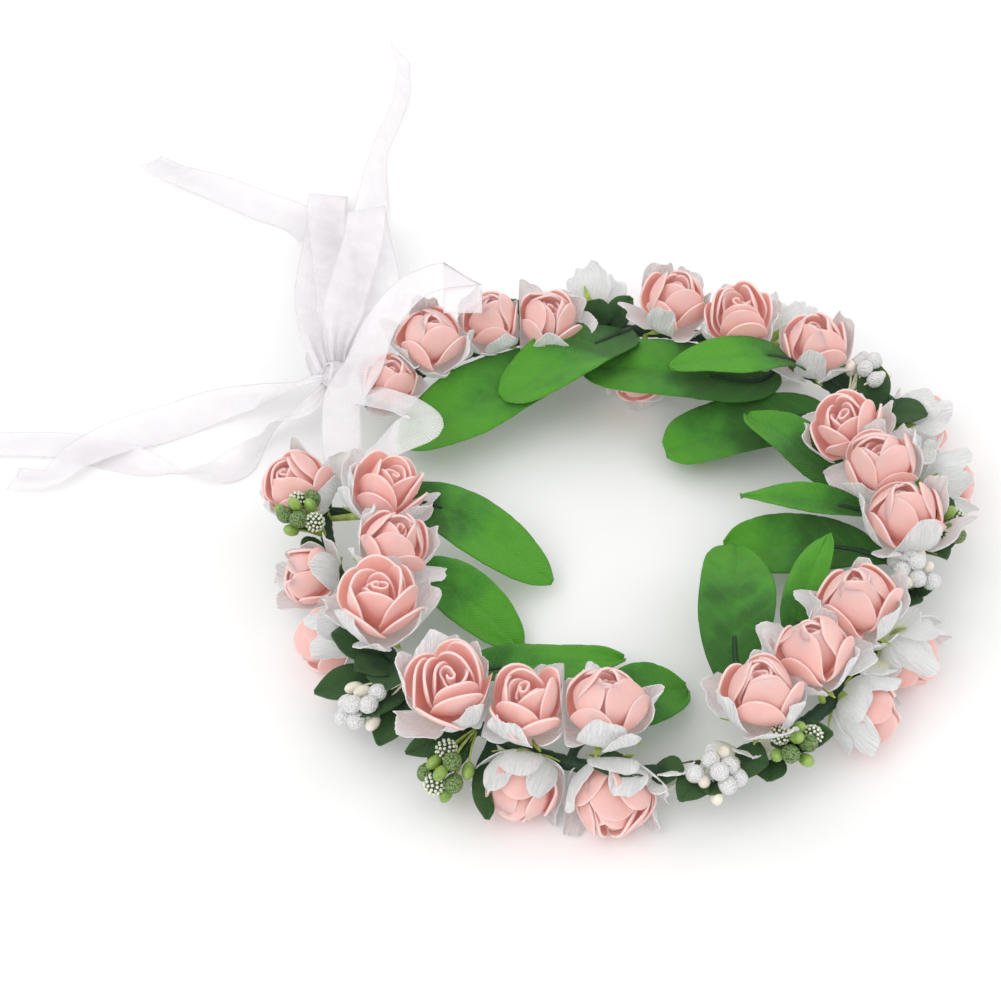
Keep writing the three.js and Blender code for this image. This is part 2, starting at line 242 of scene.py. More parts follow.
def tangents(path):
    return np.array([unit(t) for t in np.gradient(path, axis=0)])


def path_length(path):
    return np.linalg.norm(np.diff(path, axis=0), axis=1).sum()


class Build:
    """Collects points, faces and per-point values, then makes one mesh object of them."""

    def __init__(self):
        self.points, self.faces, self.uvs, self.values, self.count = [], [], [], [], 0

    def add(self, points, faces, uvs=None, values=None):
        """values holds two numbers a point: rim, and shade."""
        points = np.asarray(points, float)
        self.points.append(points)
        self.faces += [[i + self.count for i in face] for face in faces]
        self.uvs.append(np.zeros((len(points), 2)) if uvs is None else np.asarray(uvs, float))
        self.values.append(np.zeros((len(points), 2)) if values is None else np.asarray(values))
        self.count += len(points)

    def make(self, name, material, slot, body="crown", squeeze=None):
        """One object of all that was added, which rides on body. slot is not used."""
        points = np.vstack(self.points)
        if squeeze is not None:
            points = squeeze(points)
        mesh = bpy.data.meshes.new(name)
        mesh.from_pydata((points * MM).tolist(), [], self.faces)
        uv = mesh.uv_layers.new(name="UVMap")
        corners = np.empty(len(mesh.loops), dtype=np.int64)
        mesh.loops.foreach_get("vertex_index", corners)
        uv.data.foreach_set("uv", np.vstack(self.uvs)[corners].astype(np.float32).ravel())
        values = np.vstack(self.values)
        for lane, label in enumerate(("rim", "shade")):
            layer = mesh.attributes.new(label, "FLOAT", "POINT")
            layer.data.foreach_set("value", values[:, lane].astype(np.float32))
        mesh.polygons.foreach_set("use_smooth", [True] * len(mesh.polygons))
        mesh.materials.append(material)
        piece = bpy.data.objects.new(name, mesh)
        bpy.context.scene.collection.objects.link(piece)
        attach(piece, body)
        return piece


def ring_faces(rings, around):
    """Quads between rings of around points each, closed round."""
    faces = []
    for ring in range(rings - 1):
        for i in range(around):
            j = (i + 1) % around
            a, b = ring * around, (ring + 1) * around
            faces.append([a + i, a + j, b + j, b + i])
    return faces


def add_tube(build, path, radius, around):
    """A round bar with rounded ends. radius is one number or one for each point of path."""
    path = np.asarray(path, float)
    radii = np.broadcast_to(radius, len(path))
    along = tangents(path)
    side = frame_about(along[0], 0.0)[0]
    rings = []
    for point, direction, r in zip(path, along, radii):
        side = unit(side - direction * (side @ direction))
        over = np.cross(direction, side)
        turn = math.tau * np.arange(around) / around
        rings.append(point + r * (np.outer(np.cos(turn), side) + np.outer(np.sin(turn), over)))
    rings.insert(0, path[0] + (rings[0] - path[0]) * 0.6 - along[0] * radii[0] * 0.5)
    rings.append(path[-1] + (rings[-1] - path[-1]) * 0.6 + along[-1] * radii[-1] * 0.5)
    points = np.vstack(rings)
    count = len(rings)
    faces = ring_faces(count, around)
    faces.append(list(range(around))[::-1])
    faces.append([(count - 1) * around + i for i in range(around)])
    uvs = np.stack([np.tile(np.arange(around) / around, count),
                    np.repeat(np.arange(count) / count, around)], axis=1)
    build.add(points, faces, uvs)


def add_sheet(build, surface, thickness, rows, columns, outline, uv_size, blunt=0.8):
    """A closed thin sheet.

    surface(u, v) gives middle points and normals for arrays u across and v along, each -1 to 1.
    outline(v) gives the half width kept at v. uv_size is the sheet's real size for its UVs.
    blunt is the share of the thickness that is left at the rim.
    """
    v = np.sin(np.linspace(-1, 1, rows) * math.pi / 2)
    u = np.sin(np.linspace(-1, 1, columns) * math.pi / 2)
    grid_v, grid_u = np.meshgrid(v, u, indexing="ij")
    narrowed = grid_u * outline(grid_v)
    middle, normal = surface(narrowed, grid_v)
    rim = np.maximum(np.abs(grid_u), np.abs(grid_v))
    half = (thickness / 2) * (1 - (1 - blunt) * rim ** 10)
    uvs = pairs(narrowed * uv_size[0] / 2, grid_v * uv_size[1] / 2)
    close_sheet(build, middle, normal * half[..., None], uvs, pairs(rim, (grid_v + 1) / 2))


def close_sheet(build, middle, half, uvs, values):
    """A closed sheet from a grid of middle points and the half thickness above each."""
    rows, columns = middle.shape[:2]
    size = rows * columns
    faces = []
    for i in range(rows - 1):
        for j in range(columns - 1):
            a = i * columns + j
            faces.append([a, a + 1, a + columns + 1, a + columns])
    faces += [[size + k for k in face[::-1]] for face in faces]
    edge = (list(range(columns))
            + [i * columns + columns - 1 for i in range(1, rows)]
            + [(rows - 1) * columns + j for j in range(columns - 2, -1, -1)]
            + [i * columns for i in range(rows - 2, 0, -1)])
    for k, a in enumerate(edge):
        b = edge[(k + 1) % len(edge)]
        faces.append([b, a, size + a, size + b])
    points = np.vstack([(middle + half).reshape(-1, 3), (middle - half).reshape(-1, 3)])
    uvs = uvs.reshape(-1, 2)
    values = values.reshape(-1, 2)
    build.add(points, faces, np.vstack([uvs, uvs]), np.vstack([values, values]))


def pairs(first, second):
    """Two numbers for each point of a grid."""
    return np.stack(np.broadcast_arrays(first, second), axis=-1)


def grid_normals(grid):
    normal = np.cross(np.gradient(grid, axis=1), np.gradient(grid, axis=0))
    return normal / np.maximum(np.linalg.norm(normal, axis=-1, keepdims=True), 1e-9)


def with_normals(place, step=1e-3):
    """Turns place(u, v) into a surface that also gives normals, by small differences."""
    def surface(u, v):
        here = place(u, v)
        across = place(u + step, v) - place(u - step, v)
        along = place(u, v + step) - place(u, v - step)
        normal = np.cross(across, along)
        length = np.linalg.norm(normal, axis=-1, keepdims=True)
        return here, normal / np.maximum(length, 1e-12)
    return surface


def wrinkle(u, v, seed, scale):
    """Smooth waves that differ with seed, between -1 and 1."""
    draw = random.Random(seed)
    total = np.zeros(np.broadcast(u, v).shape)
    for _ in range(4):
        turn, phase = draw.uniform(0, math.pi), draw.uniform(0, math.tau)
        pitch = scale * draw.uniform(0.6, 1.6)
        total = total + np.sin(pitch * (u * math.cos(turn) + v * math.sin(turn)) + phase)
    return total / 4


# ---------------------------------------------------------------- materials
class Nodes:
    """Short names for building a node material."""

    def __init__(self, name):
        self.material = bpy.data.materials.new(name)
        self.material.use_nodes = True
        self.tree = self.material.node_tree
        self.tree.nodes.clear()
        self.output = self.tree.nodes.new("ShaderNodeOutputMaterial")
        self.shader = self.tree.nodes.new("ShaderNodeBsdfPrincipled")
        self.link(self.shader.outputs[0], self.output.inputs["Surface"])

    def link(self, a, b):
        self.tree.links.new(a, b)

    def feed(self, socket, value):
        """value is another node's output, a number or a colour."""
        if hasattr(value, "is_linked"):
            self.link(value, socket)
        else:
            socket.default_value = (*value, 1.0) if isinstance(value, tuple) else value

    def node(self, kind, **settings):
        made = self.tree.nodes.new(kind)
        for key, value in settings.items():
            setattr(made, key, value)
        return made

    def attribute(self, name):
        return self.node("ShaderNodeAttribute", attribute_name=name).outputs["Fac"]

    def uv(self):
        return self.node("ShaderNodeUVMap", uv_map="UVMap").outputs["UV"]

    def place(self):
        return self.node("ShaderNodeTexCoord").outputs["Object"]

    def math(self, operation, a, b=0.0, clamp=False):
        made = self.node("ShaderNodeMath", operation=operation, use_clamp=clamp)
        self.feed(made.inputs[0], a)
        self.feed(made.inputs[1], b)
        return made.outputs[0]

    def times(self, a, b):
        return self.math("MULTIPLY", a, b)

    def plus(self, a, b):
        return self.math("ADD", a, b)

    def noise(self, vector, scale, detail=3.0, roughness=0.55):
        made = self.node("ShaderNodeTexNoise")
        made.inputs["Scale"].default_value = scale
        made.inputs["Detail"].default_value = detail
        made.inputs["Roughness"].default_value = roughness
        self.link(vector, made.inputs["Vector"])
        return made.outputs["Fac"]

    def stretch(self, vector, scale):
        made = self.node("ShaderNodeMapping")
        made.inputs["Scale"].default_value = scale
        self.link(vector, made.inputs["Vector"])
        return made.outputs[0]

    def ramp(self, factor, stops):
        made = self.node("ShaderNodeValToRGB")
        ramp = made.color_ramp
        while len(ramp.elements) < len(stops):
            ramp.elements.new(0.5)
        for element, (position, colour) in zip(ramp.elements, stops):
            element.position = position
            element.color = (*colour, 1.0)
        self.link(factor, made.inputs["Fac"])
        return made.outputs["Color"]

    def mix(self, factor, a, b):
        made = self.node("ShaderNodeMix", data_type="RGBA")
        for name, value in (("Factor", factor), ("A", a), ("B", b)):
            self.feed(made.inputs[name], value)
        return made.outputs["Result"]

    def colour(self, value):
        self.link(value, self.shader.inputs["Base Color"])

    def roughness(self, factor, low, high):
        made = self.node("ShaderNodeMapRange")
        made.inputs["To Min"].default_value = low
        made.inputs["To Max"].default_value = high
        self.link(factor, made.inputs["Value"])
        self.link(made.outputs[0], self.shader.inputs["Roughness"])

    def bump(self, height, distance, strength=1.0):
        made = self.node("ShaderNodeBump")
        made.inputs["Distance"].default_value = distance
        made.inputs["Strength"].default_value = strength
        self.link(height, made.inputs["Height"])
        self.link(made.outputs[0], self.shader.inputs["Normal"])

    def set(self, **sockets):
        for name, value in sockets.items():
            self.shader.inputs[name.replace("_", " ")].default_value = value


def weave(nodes, vector, pitch):
    """Over and under threads, square to each other, with one thread each pitch of the UVs."""
    split = nodes.node("ShaderNodeSeparateXYZ")
    nodes.link(vector, split.inputs[0])
    turn = math.tau / pitch
    warp = nodes.math("SINE", nodes.times(split.outputs[0], turn))
    weft = nodes.math("SINE", nodes.times(split.outputs[1], turn))
    return warp, weft


def foam_material():
    n = Nodes("salmon_foam")
    place = n.place()
    cloudy = n.noise(place, 90.0)
    base = n.ramp(cloudy, [(0.35, (0.77, 0.45, 0.42)), (0.65, (0.81, 0.51, 0.48))])
    # Painted shade: the petals turn a darker orange towards their bottoms, deep in the rose's cup
    # where shade falls.
    height = n.math("POWER", n.attribute("shade"), 0.6, clamp=True)
    crevice_shaded = n.mix(height, (0.82, 0.37, 0.29), base)
    # Painted highlight: a pale line along the petal rims, where the edges catch the light.
    rim_highlight = n.math("POWER", n.attribute("rim"), 32.0, clamp=True)
    n.colour(n.mix(n.times(rim_highlight, 0.7), crevice_shaded, (0.90, 0.68, 0.66)))
    pores = n.noise(place, 2600.0, 2.0)
    n.roughness(cloudy, 0.55, 0.72)
    n.bump(pores, 0.00012, 0.35)
    # The faint salmon glow is painted light that lifts the shade between the petals.
    n.set(Subsurface_Weight=0.5, Subsurface_Radius=(0.004, 0.002, 0.0015),
          Subsurface_Scale=1.0, Specular_IOR_Level=0.25, Sheen_Weight=0.1, Sheen_Roughness=0.5,
          Emission_Color=(0.80, 0.45, 0.42, 1.0), Emission_Strength=0.09)
    return n.material


def paper_material():
    n = Nodes("crinkled_paper")
    uv = n.uv()
    ribs = n.noise(n.stretch(uv, (1.0, 0.12, 1.0)), 1.6, 4.0, 0.65)
    clouds = n.noise(n.place(), 160.0)
    # The paper's own white, with painted shade greying it in the grooves between the ribs that the
    # bump raises.
    white_with_rib_shade = n.mix(n.ramp(ribs, [(0.35, (0, 0, 0)), (0.65, (1, 1, 1))]), (0.78, 0.78, 0.78),
                 (0.90, 0.90, 0.90))
    warm = n.math("POWER", n.math("SUBTRACT", 1.0, n.attribute("shade")), 5.0, clamp=True)
    n.colour(n.mix(warm, white_with_rib_shade, (0.80, 0.80, 0.52)))
    n.roughness(clouds, 0.6, 0.8)
    n.bump(ribs, 0.0018, 1.0)
    # The white glow is painted light that brightens the paper where it lies in shade.
    n.set(Subsurface_Weight=0.35, Subsurface_Radius=(0.003, 0.003, 0.003),
          Specular_IOR_Level=0.25, Emission_Color=(1.0, 1.0, 1.0, 1.0), Emission_Strength=0.12)
    return n.material


def streaked_material(name, low, high, scale, stretch, rough, bump, **sockets):
    """Two colours in streaks or clouds, with the roughness and bump that follow them."""
    n = Nodes(name)
    streaks = n.noise(n.stretch(n.place(), stretch), scale)
    n.colour(n.ramp(streaks, [(0.3, low), (0.7, high)]))
    n.roughness(streaks, *rough)
    n.bump(streaks, *bump)
    n.set(**sockets)
    return n.material


def pearl_material(name, low, high, gloss):
    return streaked_material(name, low, high, 350.0, (1.0, 1.0, 1.0), (gloss, gloss + 0.15),
                             (0.0002, 0.3), Coat_Weight=0.4, Coat_Roughness=0.15,
                             Subsurface_Weight=0.1, Subsurface_Radius=(0.002, 0.0018, 0.0012))


def leaf_material(name, bright, middle, dark):
    """Printed woven leaf: dark where shade is about 0 or less, bright from 0.4 up."""
    n = Nodes(name)
    uv = n.uv()
    place = n.place()
    mottle = n.noise(place, 70.0, 4.0)
    along = n.plus(n.attribute("shade"), n.times(n.math("SUBTRACT", mottle, 0.5), 0.8))
    printed = n.ramp(along, [(0.04, dark), (0.18, middle), (0.40, bright)])
    fine = n.noise(n.stretch(uv, (0.25, 1.0, 1.0)), 3.0, 3.0)
    streaked = n.mix(n.times(fine, 0.35), printed, tuple(c * 0.6 for c in middle))
    warp, weft = weave(n, uv, LEAF_WEAVE_PITCH)
    threads = n.times(n.plus(n.times(warp, weft), 1.0), 0.5)
    threaded = n.mix(n.times(threads, 0.38), streaked,
                     tuple(min(1.0, c * 1.9 + 0.01) for c in bright))
    veined = n.times(n.attribute("rim"), 0.09)
    n.colour(n.mix(veined, threaded, tuple(c * 1.5 + 0.02 for c in bright)))
    n.roughness(threads, 0.42, 0.62)
    n.bump(threads, 0.0003, 1.0)
    n.set(Sheen_Weight=0.05, Sheen_Roughness=0.4, Specular_IOR_Level=0.28,
          Subsurface_Weight=0.06, Subsurface_Radius=(0.001, 0.002, 0.0005))
    return n.material


def tape_material():
    n = Nodes("floral_tape")
    crepe = n.noise(n.place(), 900.0, 4.0)
    broad = n.noise(n.place(), 120.0)
    crinkled = n.ramp(crepe, [(0.3, (0.006, 0.022, 0.009)), (0.75, (0.03, 0.085, 0.03))])
    n.colour(n.mix(broad, crinkled, (0.012, 0.045, 0.02)))
    n.roughness(crepe, 0.5, 0.75)
    n.bump(crepe, 0.0003, 0.7)
    return n.material


def sugared_material(name, low, high, grain):
    """Balls rolled in fine glass grains."""
    n = Nodes(name)
    place = n.place()
    cells = n.node("ShaderNodeTexVoronoi")
    cells.inputs["Scale"].default_value = grain
    n.link(place, cells.inputs["Vector"])
    n.colour(n.ramp(cells.outputs["Distance"], [(0.1, high), (0.75, low)]))
    n.roughness(n.noise(place, grain), 0.15, 0.6)
    n.bump(cells.outputs["Distance"], 0.0007, 0.9)
    n.set(Specular_IOR_Level=0.6, Subsurface_Weight=0.1,
          Subsurface_Radius=(0.002, 0.002, 0.002))
    return n.material


def organza_material():
    """Sheer ribbon: fine open grid, closer at the woven edges."""
    n = Nodes("organza")
    uv = n.uv()
    warp, weft = weave(n, uv, RIBBON_WEAVE_PITCH)
    grid = n.math("MAXIMUM", warp, weft)
    open_grid = n.times(n.plus(grid, 1.0), 0.5)
    uneven = n.noise(uv, 0.12, 2.0)
    selvage = n.math("POWER", n.attribute("rim"), 24.0, clamp=True)
    cover = n.plus(n.times(n.math("POWER", open_grid, 1.5), 0.45), n.times(uneven, 0.26))
    alpha = n.math("ADD", cover, n.times(selvage, 0.22), clamp=True)
    n.link(alpha, n.shader.inputs["Alpha"])
    n.colour(n.ramp(uneven, [(0.3, (0.96, 0.92, 0.955)), (0.7, (0.985, 0.965, 0.985))]))
    n.roughness(open_grid, 0.35, 0.55)
    n.bump(open_grid, 0.0001, 0.4)
    n.set(Sheen_Weight=0.3, Sheen_Roughness=0.3, Specular_IOR_Level=0.5)
    return n.material


foam = foam_material()
paper = paper_material()
calyx_green = streaked_material("calyx_green", (0.28, 0.40, 0.06), (0.55, 0.64, 0.18), 500.0,
                                (1.0, 1.0, 0.3), (0.45, 0.65), (0.0002, 0.5))
big_leaf = leaf_material("bright_leaf", (0.098, 0.36, 0.028), (0.04, 0.20, 0.03),
                         (0.004, 0.020, 0.014))
small_leaf = leaf_material("olive_leaf", (0.045, 0.11, 0.03), (0.03, 0.085, 0.025),
                           (0.012, 0.04, 0.018))
tape = tape_material()
wire = streaked_material("florist_wire", (0.05, 0.09, 0.05), (0.12, 0.17, 0.11), 1500.0,
                         (0.2, 0.2, 1.0), (0.3, 0.5), (0.0001, 0.3), Metallic=0.7)
white_sugar = sugared_material("white_sugar", (0.80, 0.80, 0.80), (0.98, 0.98, 0.98), 1800.0)
green_sugar = sugared_material("green_sugar", (0.05, 0.13, 0.02), (0.38, 0.52, 0.20), 1800.0)
dark_berry = pearl_material("dark_berry", (0.01, 0.03, 0.01), (0.03, 0.07, 0.02), 0.3)
bead_white = pearl_material("bead_white", (0.62, 0.68, 0.48), (0.85, 0.88, 0.75), 0.2)
cream_pearl = pearl_material("cream_pearl", (0.70, 0.63, 0.50), (0.88, 0.84, 0.74), 0.25)
green_pip = pearl_material("green_pip", (0.16, 0.30, 0.04), (0.33, 0.48, 0.10), 0.25)
organza = organza_material()


# ---------------------------------------------------------------- where the roses stand
class Rose:
    """One rose's place, worked out from its CAD node."""

    def __init__(self, name):
        self.name = name
        corners = np.array([v.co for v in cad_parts[name].data.vertices]) / MM
        centre = (corners.min(axis=0) + corners.max(axis=0)) / 2
        self.root = on_hoop_near(centre)
        away = unit(centre - self.root)
        reach = np.linalg.norm(np.cross(corners - centre, away), axis=1)
        head = corners[reach > reach.max() * 0.45]
        self.centre = (head.min(axis=0) + head.max(axis=0)) / 2
        self.radius = np.percentile(np.linalg.norm(head - self.centre, axis=1), 90) * 0.98
        self.seed = int(name.split("_")[1])
        draw = random.Random(self.seed)
        lift = min(1.0, max(0.0, (self.centre[2] - HOOP_HEIGHT) / 10))
        lean = np.array([draw.uniform(-0.3, 0.3) for _ in range(3)])
        self.axis = unit(unit(self.centre - self.root) + 1.3 * lift * UP + lean)
        self.side, self.over = frame_about(self.axis, draw.uniform(0, math.tau))

    def out(self, x, y, z):
        """From the rose's own axes, where Z is the way it faces, to the frame."""
        return (self.centre + x[..., None] * self.side + y[..., None] * self.over
                + z[..., None] * self.axis)

    def out_round(self, r, angle, z):
        """The same from a distance and an angle about the rose's middle."""
        return self.out(r * np.cos(angle), r * np.sin(angle), z)


roses = [Rose(name) for name in sorted(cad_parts) if name.startswith("rose_")]


def pressed(points, inside, outward, soft):
    """Points near a plane are pressed back behind it, the nearest most, so none passes it."""
    past = (points - inside) @ outward + soft
    near = past > 0
    squeezed = soft * 0.9 * (1 - np.exp(-past / (soft * 0.9)))
    points[near] -= np.outer((past - squeezed)[near], outward)
    return points


def squeeze_for(rose, soft):
    """What neighbours and the table do to the petals of one rose."""
    def squeeze(points):
        for other in roses:
            if other is rose:
                continue
            gap = other.centre - rose.centre
            distance = np.linalg.norm(gap)
            if distance > (rose.radius + other.radius) * 1.25:
                continue
            outward = gap / distance
            share = (distance ** 2 + rose.radius ** 2 - other.radius ** 2) / (2 * distance)
            points = pressed(points, rose.centre + outward * share, outward, soft)
        if rose.name in UNDER_LEAVES:
            points = pressed(points, UP * UNDER_LEAVES[rose.name], UP, soft)
        return pressed(points, UP * CLEAR_OF_TABLE, -UP, soft)
    return squeeze


# ---------------------------------------------------------------- rose parts
def add_foam_petal(build, rose, petal, turn, drawn, seed):
    """A round foam disc that stands in the cup of the rose, one side over its neighbour."""
    shell, top, flare, width = petal
    bottom = -0.78 * rose.radius
    overlap = drawn.uniform(0.05, 0.11) * width
    flat = drawn.uniform(1.25, 1.7)
    peel = drawn.choice((-1, 1)) * drawn.uniform(0.0, 0.16) * rose.radius

    def place(u, v):
        s = (v + 1) / 2
        rise = np.sin(np.clip(s * 1.35, 0, 1) * math.pi / 2)
        r = shell * (0.35 + 0.65 * rise) + flare * np.clip((s - 0.5) / 0.5, 0, 1) ** 2
        r = r + 0.014 * rose.radius * wrinkle(u, v, seed, 2.5)
        r = r + np.abs(peel) * np.clip(np.sign(peel) * u - 0.35, 0, 1) ** 2 * s
        bend = flat * r
        swing = u * width / 2 / bend
        x = bend * np.cos(swing) - (bend - r) + overlap * u
        y = bend * np.sin(swing)
        z = bottom + (top - bottom) * s - 0.08 * width * u ** 2 * s
        return rose.out(x * math.cos(turn) - y * math.sin(turn),
                        x * math.sin(turn) + y * math.cos(turn), z)

    def outline(v):
        below_top = (1 - v) * (top - bottom) / width
        round_top = np.sqrt(np.clip(1 - np.clip(1 - below_top, 0, 1) ** 2, 0, 1))
        return np.maximum(round_top * (0.5 + 0.5 * np.clip((v + 1) / 0.8, 0, 1)), 0.1)

    add_sheet(build, with_normals(place), FOAM_THICKNESS, *FOAM_GRID, outline, (width, top - bottom))


def add_bud(build, rose, drawn):
    """The rolled disc in the middle."""
    turns = drawn.uniform(1.1, 1.6)
    start = drawn.uniform(0, math.tau)
    scale = rose.radius / USUAL_RADIUS
    height_of_bud = drawn.uniform(7.4, 9.0)

    def place(u, v):
        angle = (u + 1) / 2 * turns * 2 * math.pi
        r = (1.0 + 1.6 * angle / math.tau) * scale
        top = (height_of_bud - 0.35 * angle + 0.9 * np.sin(angle / turns / 2)) * scale
        height = (-4.0 * scale) * (1 - v) / 2 + top * (1 + v) / 2
        spread = 0.9 + 0.15 * np.clip(v, 0, 1) ** 2
        squash = 1 - 0.3 * np.cos(2 * angle)
        return rose.out_round(r * spread * squash, angle + start, height)

    add_sheet(build, with_normals(place), FOAM_THICKNESS * 0.9, *BUD_GRID, np.ones_like,
              (30 * scale, 12 * scale))


def make_foam(rose):
    build = Build()
    drawn = random.Random(FOAM_SEEDS + rose.seed)
    add_bud(build, rose, drawn)
    opened = drawn.uniform(0.65, 1.0) if rose.name in OPEN_ROSES else drawn.uniform(0.0, 0.35)
    for layer, (shell, top, shut, wide, width, count) in enumerate(PETAL_LAYERS):
        start = drawn.uniform(0, math.tau)
        for number in range(count):
            turn = start + math.tau * (number + drawn.uniform(-0.12, 0.12)) / count
            lean = shut + (wide - shut) * opened + drawn.uniform(-0.05, 0.08)
            shares = (shell, top + drawn.uniform(-0.10, 0.05), lean,
                      width * drawn.uniform(0.92, 1.05))
            petal = [share * rose.radius for share in shares]
            add_foam_petal(build, rose, petal, turn, drawn, rose.seed * 100 + layer * 10 + number)
    piece = build.make(rose.name + "_foam", foam, "foam", squeeze=squeeze_for(rose, 2.0))
    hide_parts(rose.name)


def add_paper_petal(build, rose, turn, opening, top, seed, drawn):
    """A crinkled petal that starts at the calyx, runs up outside the foam and flares away."""
    R = rose.radius
    width = R * drawn.uniform(1.25, 1.65)
    route = np.array([(0.15, -0.92), (0.85, -0.90), (1.10 + 0.25 * opening, -0.40),
                      (1.06 + 0.75 * opening, top)]) * R
    phase = drawn.uniform(0, 6.28)
    waves = drawn.uniform(1.2, 2.6)
    cup = drawn.uniform(-0.16, 0.16) * R
    skew = drawn.uniform(-0.35, 0.35)
    rib = math.tau * width / 2 / PAPER_RIB_PITCH

    def place(u, v):
        s = (v + 1) / 2
        w = [(1 - s) ** 3, 3 * s * (1 - s) ** 2, 3 * s * s * (1 - s), s ** 3]
        r = sum(w[k] * route[k, 0] for k in range(4))
        z = sum(w[k] * route[k, 1] for k in range(4))
        edge = np.abs(u) * np.clip(s, 0, 1) ** 1.5
        ruffle = 0.11 * R * np.sin(u * math.pi * waves + phase) * edge
        crumple = 0.055 * R * wrinkle(u, v, seed, 4.0) * s
        crumple = crumple + 0.12 * np.sin(u * rib + 2 * s + wrinkle(u, v, seed, 3.0)) * s
        tip_curl = 0.12 * R * np.sin(3 * u + phase) * np.clip(s - 0.75, 0, 1) * 4
        swing = u * width / 2 / np.maximum(r * 1.25, 0.3 * R) + skew * s * s
        distance = r + ruffle + crumple + tip_curl - cup * u ** 2 * s
        return rose.out_round(distance, turn + swing, z + 0.6 * ruffle - 0.08 * R * u ** 2)

    def outline(v):
        s = (v + 1) / 2
        blunt = np.clip(1 - (np.clip(s - 0.55, 0, 1) / 0.47) ** 2.8, 0.0, 1)
        ragged = 1 - 0.02 * np.abs(wrinkle(0.0, s, seed + 7, 26.0))
        return np.maximum((0.30 + 0.70 * np.clip(s * 2.0, 0, 1)) * np.sqrt(blunt) * ragged, 0.2)

    add_sheet(build, with_normals(place), PAPER_THICKNESS, *PAPER_GRID, outline, (width, 1.9 * R),
              blunt=1.0)


def make_paper(rose):
    """Petals spread like a skirt, and as many wrapped round the foam between them."""
    build = Build()
    drawn = random.Random(PAPER_SEEDS + rose.seed)
    count = 8 if rose.centre[2] < HOOP_HEIGHT + 2 else 6
    start = drawn.uniform(0, math.tau)
    for petal in range(count):
        turn = start + math.tau * (petal + drawn.uniform(-0.25, 0.25)) / count
        spread = petal % 2 == 0
        opening = drawn.uniform(0.35, 0.85) if spread else drawn.uniform(-0.02, 0.25)
        top = drawn.uniform(-0.15, 0.20) if spread else drawn.uniform(0.15, 0.75)
        add_paper_petal(build, rose, turn, opening, top, rose.seed * 50 + petal, drawn)
    build.make(rose.name + "_paper", paper, "paper_petal", squeeze=squeeze_for(rose, 1.5))


def add_sepal(build, rose, turn):
    """A pointed sepal that lies against the underside of the petals."""
    def place(u, v):
        s = (v + 1) / 2
        r = (1.5 + 11.0 * s) * rose.radius / USUAL_RADIUS
        height = (-0.98 + 0.20 * s ** 2) * rose.radius
        return rose.out_round(r, turn + u * 2.0 / (r + 1.0), height + 0.4 * np.abs(u))

    def outline(v):
        return np.clip(1.0 - ((v + 1) / 2) ** 2, 0.12, 1)

    add_sheet(build, with_normals(place), SEPAL_THICKNESS, *SEPAL_GRID, outline, (4, 11),
              blunt=1.0)


def make_calyx(rose):
    """Five sepals, and the stem that bends down from them to the hoop."""
    build = Build()
    start = random.Random(CALYX_SEEDS + rose.seed).uniform(0, math.tau)
    for sepal in range(SEPALS):
        add_sepal(build, rose, start + math.tau * sepal / SEPALS)
    base = rose.centre - rose.axis * rose.radius * 0.80
    bend = (base + rose.root) / 2 - 0.6 * UP
    stem = smooth_curve([base + rose.axis * 1.5, base - rose.axis * 1.0, bend, rose.root], 12)
    add_tube(build, stem, np.linspace(*STEM_RADII, len(stem)), 8)
    build.make(rose.name + "_calyx", calyx_green, "calyx", squeeze=squeeze_for(rose, 1.5))


for each_rose in roses:
    make_foam(each_rose)
    make_paper(each_rose)
    make_calyx(each_rose)


# ---------------------------------------------------------------- leaves
def clear_of_roses(points, keep):
    """Pushes leaf points out of the rose heads and up off the table."""
    for rose in roses:
        offset = points - rose.centre
        distance = np.linalg.norm(offset, axis=-1, keepdims=True)
        wanted = rose.radius * keep
        inside = distance < wanted
        points = np.where(inside, rose.centre + offset * wanted / np.maximum(distance, 1e-6), points)
    points[..., 2] = np.maximum(points[..., 2], CLEAR_OF_TABLE)
    return points


